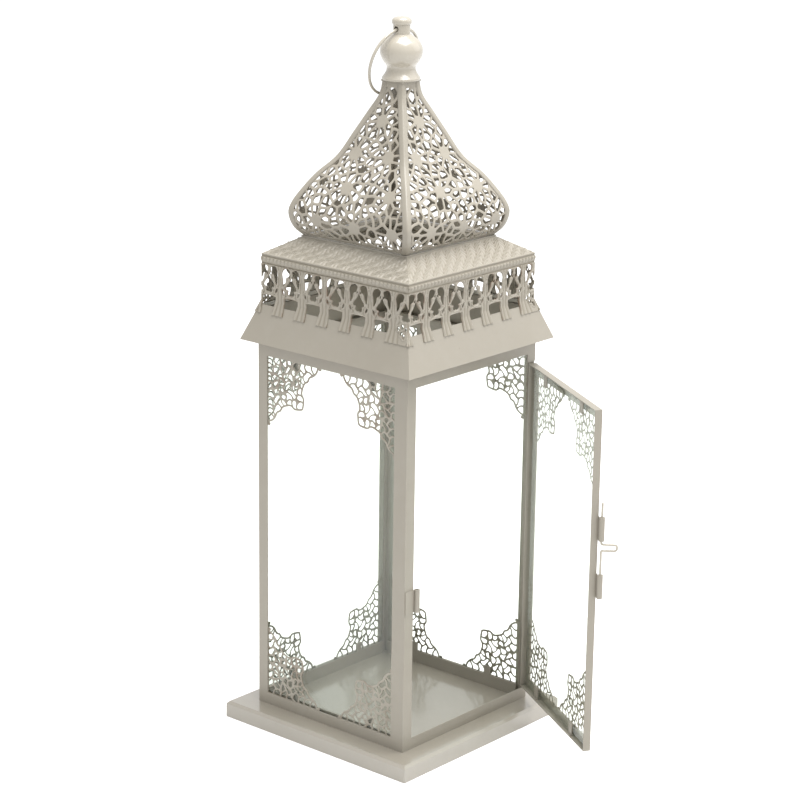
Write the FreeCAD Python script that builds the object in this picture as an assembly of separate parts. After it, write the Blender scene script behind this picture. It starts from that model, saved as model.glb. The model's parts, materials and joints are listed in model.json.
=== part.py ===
"""Square sheet-metal candle lantern with a pierced onion dome.

Origin: centre of the base's underside, +Z up. The door side faces -Y.
The door stands open at rest, as the lantern is usually displayed.
All sizes are in millimetres.
"""
import FreeCAD, Part
import math
import os

V = FreeCAD.Vector
Z_AXIS = V(0, 0, 1)

# ---------------------------------------------------------------- sizes
sheet = 0.8                 # thickness of the painted steel sheet
glass = 2.0                 # thickness of the panes

base_side = 185.0
base_height = 13.0
base_edge = 2.0             # bevel of the base tray's top edges

body_side = 148.5
border = 9.0                # plain margin round every window
front_border = 12.0         # margin of the left panel beside the front post
window_top = 294.5          # upper edge of the windows and of the doorway
post_width = 9.9            # face of the front left post
lug_width = 9.0             # lug of the header above the door's hinge edge
lug_drop = 6.5
leg_depth = 6.0             # side leg of the front left post
flange = 3.4                # inward folds at the back corners

bracket_sheet = 0.6         # thickness of the filigree brackets
bracket_lap = 3.0           # soldered behind the borders
bracket_reach = 52.0        # along each border, from the window's corner

rail_height = 10.0          # inner lip of the channels that hold the glass
rail_half = 67.5            # half length of channels and fixed panes
tab_width = 6.0
tab_length = 7.0
tab_offset = 38.0           # tabs to either side of a window's middle

door_width = 132.2
door_gap_hinge = 1.55       # between the door and the body's right face
door_lift = 2.2             # door above the sill
door_vent = 7.5             # air gap above the door
door_depth = 5.6            # folded walls of the door tray
door_border = 8.0
door_open_angle = 59.0      # as displayed, measured from closed
door_tab_offset = 36.0

hinge_out = 1.5             # hinge axis in front of the body's face
hinge_side = 0.4            # hinge axis beyond the body's right face
knuckle_radius = 2.1
knuckle_length = 9.0
knuckle_gap = 0.3
pin_radius = 0.9
bore_clearance = 0.06       # radial, in every knuckle and barrel
hinge_inset = 28.0          # hinge centres from the door's ends
leaf_length = 7.0

barrel_radius = 2.2
barrel_out = 1.65           # barrel axis in front of the door's face
barrel_beyond = 2.6         # barrel axis beyond the door's free edge
barrel_length = 18.0
upper_barrel_z = 198.0      # middles of the barrels
lower_barrel_z = 154.0
keeper_z = 131.4
keeper_length = 17.6
strap = 0.6                 # thickness of the straps that carry barrels
strap_length = 9.0
bolt_radius = 0.9
bolt_bottom = 146.5
bolt_top = 218.0
handle_top = 186.3          # upper prong of the thumb handle
handle_height = 4.7
handle_reach = 11.5
handle_turn = 22.0          # degrees off the door's normal

eave_side = 168.2           # lower edge of the sloping skirt
eave_z = 306.0
skirt_slope = 0.3855        # inward run for each unit of height
skirt_top = 338.6

cornice_side = 145.8        # outer faces of the pierced lace
fold_z = 371.5              # bend between leaf band and lace
collar_z = 385.0            # top of the leaf band
leaf_top_half = 50.6
foot_z = 327.5              # ends of the lace's feet on the skirt
lace_first = 19.6           # first sheaf from the strip's left end
lace_pitch = 22.4
lace_sheaves = 6

collar_outer = 51.6
collar_inner = 43.0
# Outline of the dome's ridges: half width of the square and height.
dome_line = [
    (50.7, 385.8), (56.2, 392.4), (58.9, 402.5), (57.2, 411.0), (51.9, 421.3),
    (44.2, 433.2), (33.5, 446.2), (24.8, 464.0), (17.6, 479.0), (11.9, 491.2), (10.2, 501.2)]
ridge_width = 4.6
hole_web = 2.8              # metal left between the dome's piercings
hole_pitch = 11.4

cap_side = 21.0
cap_thickness = 1.0
# Turned finial: radius and height above its seat.
finial_line = [
    (14.2, 0.0), (14.2, 1.6), (11.3, 6.0), (10.9, 9.8), (13.6, 13.8), (15.5, 18.2), (15.5, 23.4),
    (13.0, 28.4), (8.4, 32.2), (6.3, 33.4), (6.3, 40.4), (7.2, 40.9), (7.2, 43.4), (5.4, 45.2), (2.2, 45.8)]
ring_hole_height = 37.2     # hanging ring's hole above the finial's seat
ring_hole_radius = 2.1
stud_radius = 2.0
rivet_radius = 3.6          # peened end of the stud, below the cap
rivet_height = 1.6

ring_radius = 25.7          # centre line of the wire
wire_radius = 1.1
ring_rest_angle = 16.5      # leaning on the dome's back
ring_steps = 28             # straight runs that stand for the round
wire_sides = 8              # flats of the bent wires
knob_sides = 36             # flats of the turned knob

# ---------------------------------------------------------------- derived
body_half = body_side / 2
floor_z = base_height
window_bottom = floor_z + border
inner_face = body_half - sheet
glass_face = -inner_face + bracket_sheet      # panes, drawn in the front plane
glass_back = glass_face + glass


def skirt_half(z):
    """Half width of the skirt's outer faces at a height."""
    return eave_side / 2 - skirt_slope * (z - eave_z)


skirt_wall = sheet * math.hypot(1, skirt_slope)     # measured level
body_top = eave_z + (eave_side / 2 - skirt_wall - body_half) / skirt_slope

hinge_x = body_half + hinge_side
hinge_y = -(body_half + hinge_out)
door_right = body_half - door_gap_hinge
door_left = door_right - door_width
door_bottom = window_bottom + door_lift
door_top = window_top - door_vent
bolt_x = door_left - barrel_beyond
bolt_y = -(body_half + barrel_out)
post_inner = -body_half + post_width
door_window = (door_left + door_border, door_right - door_border,
               door_bottom + door_border, door_top - door_border)
finial_seat = dome_line[-1][1] + cap_thickness
ring_pivot_z = finial_seat + ring_hole_height


# ---------------------------------------------------------------- helpers
def box(x0, x1, y0, y1, z0, z1):
    return Part.makeBox(x1 - x0, y1 - y0, z1 - z0, V(x0, y0, z0))


def polygon(points):
    """Closed wire through the points."""
    return Part.makePolygon(points + [points[0]])


def prism(points, depth):
    """Straight prism: a flat outline and the vector that it is drawn along."""
    return Part.Face(polygon(points)).extrude(depth)


def upright(outline, y0, y1):
    """Prism between two planes of constant Y from (x, z) points."""
    return prism([V(x, y0, z) for x, z in outline], V(0, y1 - y0, 0))


def turned(shape, quarter):
    """Copy of a shape turned about the lantern's axis by quarter turns."""
    copy = shape.copy()
    copy.rotate(V(0, 0, 0), Z_AXIS, 90 * quarter)
    return copy


def rotate_door(shape):
    """Copy of a door piece, made closed, at the displayed opening."""
    copy = shape.copy()
    copy.rotate(V(hinge_x, hinge_y, 0), Z_AXIS, door_open_angle)
    return copy


def fuse(shapes):
    return shapes[0].multiFuse(shapes[1:]).removeSplitter()


def offset_line(line, distance):
    """Mitred parallel of an open (half width, height) line, to its left."""
    normals = []
    for (k0, z0), (k1, z1) in zip(line, line[1:]):
        length = math.hypot(k1 - k0, z1 - z0)
        normals.append(((z0 - z1) / length, (k1 - k0) / length))
    moved = []
    for i, (k, z) in enumerate(line):
        before = normals[max(i - 1, 0)]
        after = normals[min(i, len(normals) - 1)]
        scale = distance / (1 + before[0] * after[0] + before[1] * after[1])
        moved.append((k + (before[0] + after[0]) * scale, z + (before[1] + after[1]) * scale))
    return moved


def band(line_a, line_b):
    """Sheet between two (half width, height) lines, on the -Y side, as long as the lantern is wide."""
    outline = line_a + line_b[::-1]
    half = base_side / 2
    return prism([V(-half, -k, z) for k, z in outline], V(2 * half, 0, 0))


def turning(line):
    """Solid turned about the lantern's axis, with many flats, from (radius, height) points."""
    angle = 2 * math.pi / knob_sides
    rows = [[V(r * math.cos(i * angle), r * math.sin(i * angle), z) for i in range(knob_sides)] for r, z in line]
    faces = [Part.Face(polygon(rows[0])), Part.Face(polygon(rows[-1]))]
    for low, high in zip(rows, rows[1:]):
        for i in range(knob_sides):
            faces.append(Part.Face(polygon([low[i - 1], low[i], high[i], high[i - 1]])))
    shell = Part.makeShell(faces)
    shell.sewShape()
    return Part.makeSolid(shell)


def quarter_wedge():
    """Quarter of all space on the -Y side, between the diagonal planes."""
    reach = base_side / 2
    return prism([V(0, 0, 0), V(-reach, -reach, 0), V(reach, -reach, 0)], V(0, 0, 2 * finial_seat))


def tube(x, y, z0, z1, outer):
    """Rolled barrel with the bore for its pin still filled."""
    return Part.makeCylinder(outer, z1 - z0, V(x, y, z0))


def wire_section(middle, across, along, radius):
    """Closed outline of a wire with a few flats, in the plane of two unit vectors."""
    turn = 2 * math.pi / wire_sides
    return polygon([middle + across * (radius * math.cos(i * turn)) + along * (radius * math.sin(i * turn))
                    for i in range(wire_sides)])


def bore(x, y, z0, z1, radius):
    return Part.makeCylinder(radius, z1 - z0 + 2, V(x, y, z0 - 1))


# ---------------------------------------------------------------- filigree
# One corner bracket, seen with the window's corner at the lower left. Its edge runs from the
# level border to the tip of the leaf on the diagonal, and the other half is its mirror image.
bracket_edge = [(bracket_reach, 0.0), (49.5, 6.0), (43.5, 9.8), (38.5, 15.2), (35.3, 22.5),
                (37.4, 28.5), (36.0, 36.0)]
# Pierced petals: middle, length, greatest width, angle. All but the last have a mirror image.
bracket_petals = [
    (32.0, 26.8, 7.5, 4.6, 60), (29.4, 17.6, 9.0, 6.0, 100), (39.8, 5.6, 10.0, 4.8, 150),
    (22.0, 22.0, 9.0, 6.4, 45)]


def mirrored(points):
    return [(b, a) for a, b in points]


def petal(a, b, length, width, angle):
    """Four-cornered petal, widest a little beyond its middle."""
    turn = math.radians(angle)
    along = (math.cos(turn), math.sin(turn))
    corners = [(-length / 2, 0), (length / 8, -width / 2), (length / 2, 0), (length / 8, width / 2)]
    return [(a + u * along[0] - v * along[1], b + u * along[1] + v * along[0]) for u, v in corners]


def bracket(x, z, along, up, y):
    """Pierced bracket in the corner (x, z) of a window, growing along and up (1 or -1)."""
    lap = [(-bracket_lap, bracket_reach), (-bracket_lap, -bracket_lap), (bracket_reach, -bracket_lap)]
    outline = bracket_edge + mirrored(bracket_edge)[::-1][1:] + lap
    holes = [petal(*size) for size in bracket_petals]
    holes += [mirrored(hole) for hole in holes[:-1]]
    wires = [polygon([V(x + a * along, y, z + b * up) for a, b in points]) for points in [outline] + holes]
    return Part.makeFace(wires, "Part::FaceMakerBullseye").extrude(V(0, bracket_sheet, 0))


def brackets(window, y):
    """Four brackets behind the borders of a window (x0, x1, z0, z1)."""
    x0, x1, z0, z1 = window
    corners = [(x0, z0, 1, 1), (x1, z0, -1, 1), (x1, z1, -1, -1), (x0, z1, 1, -1)]
    return Part.makeCompound([bracket(*corner, y) for corner in corners])


def frame_sheet(x0, x1, z0, z1, window):
    """Flat sheet in the front plane with a rectangular window (x0, x1, z0, z1)."""
    sheet_metal = box(x0, x1, -body_half, -inner_face, z0, z1)
    a0, a1, b0, b1 = window
    return sheet_metal.cut(box(a0, a1, -body_half - sheet, -inner_face + sheet, b0, b1))


# ---------------------------------------------------------------- base and body
def bevelled_block(half, top, bevel):
    """Square block on the ground with its four top edges bevelled."""
    block = box(-half, half, -half, half, 0, top)
    return block.makeChamfer(bevel, [edge for edge in block.Edges if edge.BoundBox.ZMin > top / 2])


def base_tray():
    """Folded tray, open below, with a wall of even thickness also at the bevel."""
    inner_bevel = base_edge - sheet * (2 - math.sqrt(2))
    outer = bevelled_block(base_side / 2, base_height, base_edge)
    return outer.cut(bevelled_block(base_side / 2 - sheet, base_height - sheet, inner_bevel))


def side_window(right_border):
    """Window of a fixed panel, drawn in the front plane, with its own right border."""
    return (-body_half + border, body_half - right_border, window_bottom, window_top)


def fixed_panel(x0, x1, flange_x, window):
    """Side panel in the front plane, with an inward fold where flange_x is given."""
    panel = frame_sheet(x0, x1, floor_z, body_top, window)
    if flange_x is None:
        return panel
    fold = box(flange_x, flange_x + sheet, -inner_face, -inner_face + flange, floor_z, window_top + border)
    return fuse([panel, fold])


def pane():
    return box(-rail_half, rail_half, glass_face, glass_back, floor_z + sheet, window_top + border - sheet)


def rail(seat_z, up):
    """Channel at the foot (up = 1) or head (up = -1) of a pane, with two tabs bent over it."""

    def strip(x0, x1, y0, y1, low, high):
        z0, z1 = sorted((seat_z + up * low, seat_z + up * high))
        return box(x0, x1, y0, y1, z0, z1)

    lip = (glass_back, glass_back + sheet)
    parts = [strip(-rail_half, rail_half, glass_face, lip[1], 0, sheet),
             strip(-rail_half, rail_half, *lip, 0, rail_height)]
    for middle in (-tab_offset, tab_offset):
        parts.append(strip(middle - tab_width / 2, middle + tab_width / 2, *lip, 0, rail_height + tab_length))
    return fuse(parts)


def rails():
    return Part.makeCompound([rail(floor_z, 1), rail(window_top + border, -1)])


def front_frame():
    """Doorway: left post, header with its hinge lug, and sill, with the folds behind them."""
    left = -inner_face
    outline = [(left, floor_z), (body_half, floor_z), (body_half, window_bottom),
               (post_inner, window_bottom), (post_inner, window_top),
               (body_half - lug_width, window_top), (body_half - lug_width, window_top - lug_drop),
               (body_half, window_top - lug_drop), (body_half, body_top), (left, body_top)]
    back = -inner_face
    folds = [box(left, left + sheet, back, -body_half + leg_depth, floor_z, body_top - border)]
    for z0, z1 in ((floor_z, window_bottom), (window_top, body_top - border)):
        folds.append(box(inner_face - sheet, inner_face, back, -rail_half - sheet, z0, z1))
    folds.append(box(left, inner_face, back, -rail_half, floor_z, floor_z + sheet))
    return fuse([upright(outline, -body_half, back)] + folds)


# ---------------------------------------------------------------- door
def door_frame():
    face = frame_sheet(door_left, door_right, door_bottom, door_top, door_window)
    back = -body_half + door_depth
    wall = box(door_left, door_right, -body_half, back, door_bottom, door_top)
    hollow = box(door_left + sheet, door_right - sheet, -body_half, back,
                 door_bottom + sheet, door_top - sheet)
    return fuse([face, wall.cut(hollow)])


def door_pane():
    return box(door_left + sheet, door_right - sheet, glass_face, glass_back,
               door_bottom + sheet, door_top - sheet)


def door_tabs():
    """Four tabs soldered to the door's end walls and bent over its glass."""
    middle = (door_left + door_right) / 2
    back = -body_half + door_depth
    tabs = []
    for x in (middle - door_tab_offset, middle + door_tab_offset):
        x0, x1 = x - tab_width / 2, x + tab_width / 2
        low, high = door_bottom + sheet, door_top - sheet
        for z0, z1, tip in ((low, low + sheet, low + rail_height), (high - sheet, high, high - rail_height)):
            foot = box(x0, x1, glass_back, back, z0, z1)
            leg = box(x0, x1, glass_back, glass_back + sheet, min(z0, tip), max(z1, tip))
            tabs.append(fuse([foot, leg]))
    return Part.makeCompound(tabs)


def hinge_levels():
    """Joint between the fixed and the door's knuckle of each hinge."""
    return [door_bottom + hinge_inset, door_top - hinge_inset]


def fixed_knuckles():
    """Lower knuckle of each hinge, on a leaf on the body's right face."""
    parts = []
    for z in hinge_levels():
        z0, z1 = z - knuckle_length, z - knuckle_gap / 2
        leaf = box(body_half, body_half + strap, hinge_y, hinge_y + leaf_length, z0, z1)
        barrel = fuse([tube(hinge_x, hinge_y, z0, z1, knuckle_radius), leaf])
        parts.append(barrel.cut(bore(hinge_x, hinge_y, z0, z1, pin_radius + bore_clearance)))
    return Part.makeCompound(parts)


def door_knuckles():
    """Upper knuckle of each hinge, on a leaf on the door's face."""
    parts = []
    for z in hinge_levels():
        z0, z1 = z + knuckle_gap / 2, z + knuckle_length
        leaf = box(hinge_x - leaf_length, hinge_x, -body_half - strap, -body_half, z0, z1)
        barrel = fuse([tube(hinge_x, hinge_y, z0, z1, knuckle_radius), leaf])
        parts.append(barrel.cut(bore(hinge_x, hinge_y, z0, z1, pin_radius + bore_clearance)))
    return Part.makeCompound(parts)


def hinge_pins():
    reach = knuckle_length + 1.0
    return Part.makeCompound([Part.makeCylinder(pin_radius, 2 * reach, V(hinge_x, hinge_y, z - reach))
                              for z in hinge_levels()])


def latch_barrel(middle, length, strap_x0, strap_x1):
    """Rolled barrel and the strap that holds it to the sheet behind."""
    z0, z1 = middle - length / 2, middle + length / 2
    plate = box(min(strap_x0, bolt_x), max(strap_x1, bolt_x), -body_half - strap, -body_half, z0, z1)
    shape = fuse([tube(bolt_x, bolt_y, z0, z1, barrel_radius), plate])
    return shape.cut(bore(bolt_x, bolt_y, z0, z1, bolt_radius + bore_clearance))


def latch_bolt():
    """Wire bolt with a bent thumb handle, drawn in the closed door's place."""
    turn = math.radians(handle_turn)
    out = V(-math.sin(turn), -math.cos(turn), 0)
    foot = V(bolt_x, bolt_y, bolt_bottom)
    low = V(bolt_x, bolt_y, handle_top - handle_height)
    high = V(bolt_x, bolt_y, handle_top)
    route = [foot, low, low + out * handle_reach, high + out * handle_reach, high, V(bolt_x, bolt_y, bolt_top)]
    path = Part.makePolygon(route)
    section = wire_section(foot, V(1, 0, 0), V(0, 1, 0), bolt_radius)
    pipe = Part.BRepOffsetAPI.MakePipeShell(path)
    pipe.setTransitionMode(1)
    pipe.add(section)
    pipe.build()
    pipe.makeSolid()
    return pipe.shape()


# ---------------------------------------------------------------- roof
def eaves_skirt():
    line = [(skirt_half(z), z) for z in (eave_z, skirt_top)]
    inner = [(k - skirt_wall, z) for k, z in line]
    side = band(line, inner).common(quarter_wedge())
    return fuse([turned(side, quarter) for quarter in range(4)])


def lace_holes():
    """Piercings of one cornice strip as (x, z) outlines: teardrops, pears and the gaps between feet."""
    end = cornice_side / 2
    low_edge = foot_z - 1
    outlines = []
    for i in range(lace_sheaves + 1):
        gap = -end + lace_first + (i - 0.5) * lace_pitch
        right_end = gap + lace_pitch / 2 > end
        pear = [(gap, fold_z - 16.0), (gap + 4.2, fold_z - 23.5), (gap, fold_z - 27.5), (gap - 4.2, fold_z - 23.5)]
        gap_between_feet = [(gap - 5.6, low_edge), (gap - 6.6, fold_z - 31.2), (gap + 6.6, fold_z - 31.2),
                            (gap + 5.6, low_edge)]
        drops = [[(gap + side * 1.6, fold_z - 9.0), (gap + side * 7.6, fold_z - 10.0),
                  (gap + side * 7.0, fold_z - 19.5)] for side in (-1, 1)]
        outlines += drops[:1] if right_end else [pear, gap_between_feet] + drops
    return outlines


def cornice():
    """Strip of one side: sloping leaf band, upright pierced lace and feet lying on the skirt."""
    inner_half = cornice_side / 2 - sheet
    seat_z = eave_z + (eave_side / 2 - inner_half) / skirt_slope
    inner = [(leaf_top_half - sheet, collar_z), (inner_half, fold_z), (inner_half, seat_z),
             (skirt_half(foot_z), foot_z)]
    outer = offset_line(inner, sheet)
    outer[0] = (outer[0][0], collar_z)
    strip = band(inner, outer).common(quarter_wedge())
    depth = V(0, cornice_side / 3, 0)
    cutters = [prism([V(x, -eave_side / 2, z) for x, z in outline], depth) for outline in lace_holes()]
    return strip.cut(Part.makeCompound(cutters))


def collar():
    thick = dome_line[0][1] - collar_z
    outer = box(-collar_outer, collar_outer, -collar_outer, collar_outer, collar_z, collar_z + thick)
    return outer.cut(box(-collar_inner, collar_inner, -collar_inner, collar_inner, collar_z, collar_z + thick))


def dome_facets():
    """Flat facets between the bends of a dome panel, as the outer half widths and heights of their ends."""
    face = offset_line(dome_line, sheet)
    face[0] = (face[0][0], dome_line[0][1])
    face[-1] = (face[-1][0], dome_line[-1][1])
    return face


def facet_holes(half_low, half_high, length, row):
    """Alternating triangles and kites across one facet, as (u, v) outlines."""
    low, high = hole_web / 2, length - hole_web / 2
    middle_half = (half_low + half_high) / 2 - ridge_width - hole_web / 2
    count = max(int(2 * middle_half / hole_pitch), 1)
    pitch = 2 * middle_half / count
    size = (pitch - hole_web) / 2
    outlines = []
    for i in range(count):
        u = -middle_half + (i + 0.5) * pitch
        if (i + row) % 3 == 0:
            outlines.append([(u - size, (low + high) / 2), (u, low), (u + size, (low + high) / 2), (u, high)])
        elif (i + row) % 3 == 1:
            outlines.append([(u - size * 1.2, low), (u + size * 1.2, low), (u, high)])
        else:
            outlines.append([(u - size * 1.2, high), (u, low), (u + size * 1.2, high)])
    return outlines


def dome_panel():
    outer = dome_facets()
    inner = offset_line(outer, sheet)
    inner[0] = (inner[0][0], outer[0][1])
    inner[-1] = (inner[-1][0], outer[-1][1])
    panel = band(outer, inner).common(quarter_wedge())
    cutters = []
    for row, ((k0, z0), (k1, z1)) in enumerate(zip(outer, outer[1:])):
        start = V(0, -k0, z0)
        up = V(0, k0 - k1, z1 - z0)
        length = up.Length
        up.normalize()
        outward = V(1, 0, 0).cross(up) * -1
        if outward.y > 0:
            outward = outward * -1
        for outline in facet_holes(k0, k1, length, row):
            points = [start + V(u, 0, 0) + up * v + outward * sheet for u, v in outline]
            cutters.append(prism(points, outward * (-3 * sheet)))
    return panel.cut(Part.makeCompound(cutters))


def dome_ridge():
    """Angle strip over the joint of two dome panels, at the front right corner."""
    outer = dome_line
    inner = dome_facets()
    reach = base_side / 2
    w = ridge_width
    edge = prism([V(0, 0, 0), V(reach, -reach, 0), V(reach - w, -reach, 0), V(-w, 0, 0)], V(0, 0, 2 * finial_seat))
    half = band(outer, inner).common(edge).common(quarter_wedge())
    other = half.mirror(V(0, 0, 0), V(1, 1, 0))
    return fuse([half, other])


def dome_cap():
    half = cap_side / 2
    low = dome_line[-1][1]
    plate = box(-half, half, -half, half, low, low + cap_thickness)
    hole = Part.makeCylinder(stud_radius + bore_clearance, 2 * cap_thickness, V(0, 0, low - cap_thickness / 2))
    return plate.cut(hole)


def finial():
    """Turned knob, riveted through the dome's cap, with a cross hole for the hanging ring."""
    under_cap = -cap_thickness
    rivet_end = under_cap - rivet_height
    line = [(rivet_radius, rivet_end), (rivet_radius, under_cap), (stud_radius, under_cap),
            (stud_radius, 0)] + finial_line
    body = turning([(r, finial_seat + h) for r, h in line])
    length = 2 * max(r for r, h in finial_line)
    hole = Part.makeCylinder(ring_hole_radius, length, V(-length / 2, 0, ring_pivot_z), V(1, 0, 0))
    return body.cut(hole)


def hanging_ring():
    """Wire ring through the finial's neck, leaning back towards the dome."""
    lean = math.radians(ring_rest_angle)
    down = V(0, math.sin(lean), -math.cos(lean))
    pivot = V(0, 0, ring_pivot_z)
    centre = pivot + down * ring_radius
    axis = V(1, 0, 0).cross(down)
    section = wire_section(pivot, down, axis, wire_radius)
    wires = []
    for i in range(ring_steps):
        wire = section.copy()
        wire.rotate(centre, axis, 360 / ring_steps * (i + 0.5))
        wires.append(wire)
    return Part.makeLoft(wires, True, True, True)


# ---------------------------------------------------------------- assembly
def build():
    full = body_half
    inner = inner_face
    panel = {"left": (-inner, full, -inner, front_border, -1),
             "right": (-inner, inner, inner - sheet, border, 1),
             "back": (-full, full, None, border, 2)}
    parts = {"base_tray": base_tray(), "front_frame": front_frame()}
    for side, (x0, x1, flange_x, right_border, quarter) in panel.items():
        window = side_window(right_border)
        parts[side + "_panel"] = turned(fixed_panel(x0, x1, flange_x, window), quarter)
        parts[side + "_brackets"] = turned(brackets(window, -inner), quarter)
        parts[side + "_glass"] = turned(pane(), quarter)
        parts[side + "_glass_rails"] = turned(rails(), quarter)

    parts["eaves_skirt"] = eaves_skirt()
    strip = cornice()
    dome = dome_panel()
    ridge = dome_ridge()
    corners = ("front_right", "back_right", "back_left", "front_left")
    for quarter, side in enumerate(("front", "right", "back", "left")):
        parts["cornice_" + side] = turned(strip, quarter)
        parts["dome_" + side] = turned(dome, quarter)
        parts["dome_ridge_" + corners[quarter]] = turned(ridge, quarter)
    parts["dome_collar"] = collar()
    parts["dome_cap"] = dome_cap()
    parts["finial"] = finial()
    parts["hanging_ring"] = hanging_ring()

    parts["hinge_knuckles"] = fixed_knuckles()
    parts["hinge_pins"] = hinge_pins()
    parts["latch_keeper"] = latch_barrel(keeper_z, keeper_length, -body_half + sheet, post_inner)
    on_door = {"door_frame": door_frame(), "door_brackets": brackets(door_window, -inner),
               "door_glass": door_pane(), "door_glass_tabs": door_tabs(),
               "door_knuckles": door_knuckles(), "latch_bolt": latch_bolt()}
    for name, middle in (("latch_barrel_upper", upper_barrel_z), ("latch_barrel_lower", lower_barrel_z)):
        on_door[name] = latch_barrel(middle, barrel_length, door_left, door_left + strap_length)
    for name, shape in on_door.items():
        parts[name] = rotate_door(shape)
    return parts


if __name__ == "__main__":
    os.makedirs("parts", exist_ok=True)
    for name, shape in build().items():
        shape.exportStep("parts/" + name + ".step")
        print(name, "solids", len(shape.Solids), "valid", shape.isValid(), "volume", round(shape.Volume, 1))
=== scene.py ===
"""Looks of the square candle lantern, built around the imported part. Sizes are in millimetres."""
import json
import math

import bpy
import numpy as np
from mathutils import Matrix, Vector

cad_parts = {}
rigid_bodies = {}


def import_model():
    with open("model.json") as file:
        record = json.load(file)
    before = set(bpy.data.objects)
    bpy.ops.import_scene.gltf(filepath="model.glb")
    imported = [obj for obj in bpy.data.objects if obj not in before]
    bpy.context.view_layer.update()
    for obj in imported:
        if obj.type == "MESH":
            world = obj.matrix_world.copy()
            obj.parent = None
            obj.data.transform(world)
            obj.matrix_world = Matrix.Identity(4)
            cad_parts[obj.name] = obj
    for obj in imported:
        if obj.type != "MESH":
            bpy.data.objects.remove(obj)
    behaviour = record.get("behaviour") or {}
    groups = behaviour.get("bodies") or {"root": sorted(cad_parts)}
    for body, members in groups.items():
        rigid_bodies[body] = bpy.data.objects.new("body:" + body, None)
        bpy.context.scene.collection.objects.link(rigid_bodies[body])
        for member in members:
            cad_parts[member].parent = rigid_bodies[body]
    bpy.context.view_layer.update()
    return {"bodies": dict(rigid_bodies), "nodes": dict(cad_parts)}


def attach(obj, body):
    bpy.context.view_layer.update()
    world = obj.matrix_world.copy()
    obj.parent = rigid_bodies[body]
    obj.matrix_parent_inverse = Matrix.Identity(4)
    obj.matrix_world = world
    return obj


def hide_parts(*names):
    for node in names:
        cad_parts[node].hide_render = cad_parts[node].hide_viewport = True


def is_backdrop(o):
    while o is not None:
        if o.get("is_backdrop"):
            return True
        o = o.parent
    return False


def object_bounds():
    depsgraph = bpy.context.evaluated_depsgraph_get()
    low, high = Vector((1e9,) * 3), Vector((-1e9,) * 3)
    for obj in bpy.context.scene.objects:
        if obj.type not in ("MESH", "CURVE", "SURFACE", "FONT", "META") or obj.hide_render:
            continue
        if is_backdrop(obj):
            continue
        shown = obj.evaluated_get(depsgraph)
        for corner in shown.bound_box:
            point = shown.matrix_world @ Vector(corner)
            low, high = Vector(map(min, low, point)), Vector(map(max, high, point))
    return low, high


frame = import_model()
kept = set(frame["nodes"].values()) | set(frame["bodies"].values())
for stray in [o for o in bpy.context.scene.objects if o not in kept]:
    bpy.data.objects.remove(stray)

MM = 0.001
FRONT = -73.45                  # brackets lie behind this plane of every window
SHEET = 0.8
HINGE = np.array([74.65, -75.75, 0.0])
DOOR_ANGLE = math.radians(59)


# ---------------------------------------------------------------- shapes in the plane
def smooth_line(points, steps=6, closed=False):
    """Points of a smooth curve that passes through the given ones."""
    p = np.array(points, float)
    n = len(p)
    made = []
    for i in range(n if closed else n - 1):
        if closed:
            a, b, c, d = p[i - 1], p[i], p[(i + 1) % n], p[(i + 2) % n]
        else:
            a, b, c, d = p[max(i - 1, 0)], p[i], p[i + 1], p[min(i + 2, n - 1)]
        for t in np.arange(steps) / steps:
            made.append(0.5 * (2 * b + (c - a) * t + (2 * a - 5 * b + 4 * c - d) * t ** 2
                               + (3 * b - a - 3 * c + d) * t ** 3))
    if not closed:
        made.append(p[-1])
    return np.array(made)


def inside_distance(outline, u, v):
    """Signed distance to a closed outline, positive inside it."""
    nearest = np.full(u.shape, 1e9)
    inside = np.zeros(u.shape, bool)
    for (x0, y0), (x1, y1) in zip(outline, np.roll(outline, -1, 0)):
        dx, dy = x1 - x0, y1 - y0
        t = np.clip(((u - x0) * dx + (v - y0) * dy) / (dx * dx + dy * dy + 1e-12), 0, 1)
        nearest = np.minimum(nearest, np.hypot(u - x0 - t * dx, v - y0 - t * dy))
        if dy:
            inside ^= ((y0 <= v) != (y1 <= v)) & (u < x0 + (v - y0) * dx / dy)
    return np.where(inside, nearest, -nearest)


def cell_depth(u, v, seeds, crispness):
    """Nearest seed (middle, angle, stretch) of each point, and how deep the point is in that seed's cell."""
    rows = np.arange(len(u))
    c, s, stretch = np.cos(seeds[:, 2]), np.sin(seeds[:, 2]), seeds[:, 3]
    du, dv = u[:, None] - seeds[:, 0], v[:, None] - seeds[:, 1]
    along, across = (du * c + dv * s) / stretch, (dv * c - du * s) * stretch
    square = along ** 2 + across ** 2
    slope_u = along * c / stretch - across * s * stretch
    slope_v = along * s / stretch + across * c * stretch
    nearest = square.argmin(1)
    steep = 2 * np.hypot(slope_u - slope_u[rows, nearest][:, None], slope_v - slope_v[rows, nearest][:, None])
    gap = (square - square[rows, nearest][:, None]) / np.maximum(steep, 0.01)
    gap[rows, nearest] = 1e3
    return nearest, -np.log(np.exp(-gap * crispness).sum(1)) / crispness


def leaf_depth(u, v, hole):
    """How deep a point is in a pointed leaf (middle, length, width, angle); negative outside."""
    a, b, length, width, angle = hole
    c, s = math.cos(math.radians(angle)), math.sin(math.radians(angle))
    along = (u - a) * c + (v - b) * s
    across = (v - b) * c - (u - a) * s
    return width / 2 * (1 - np.abs(2 * along / length) ** 1.8) - np.abs(across)


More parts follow.
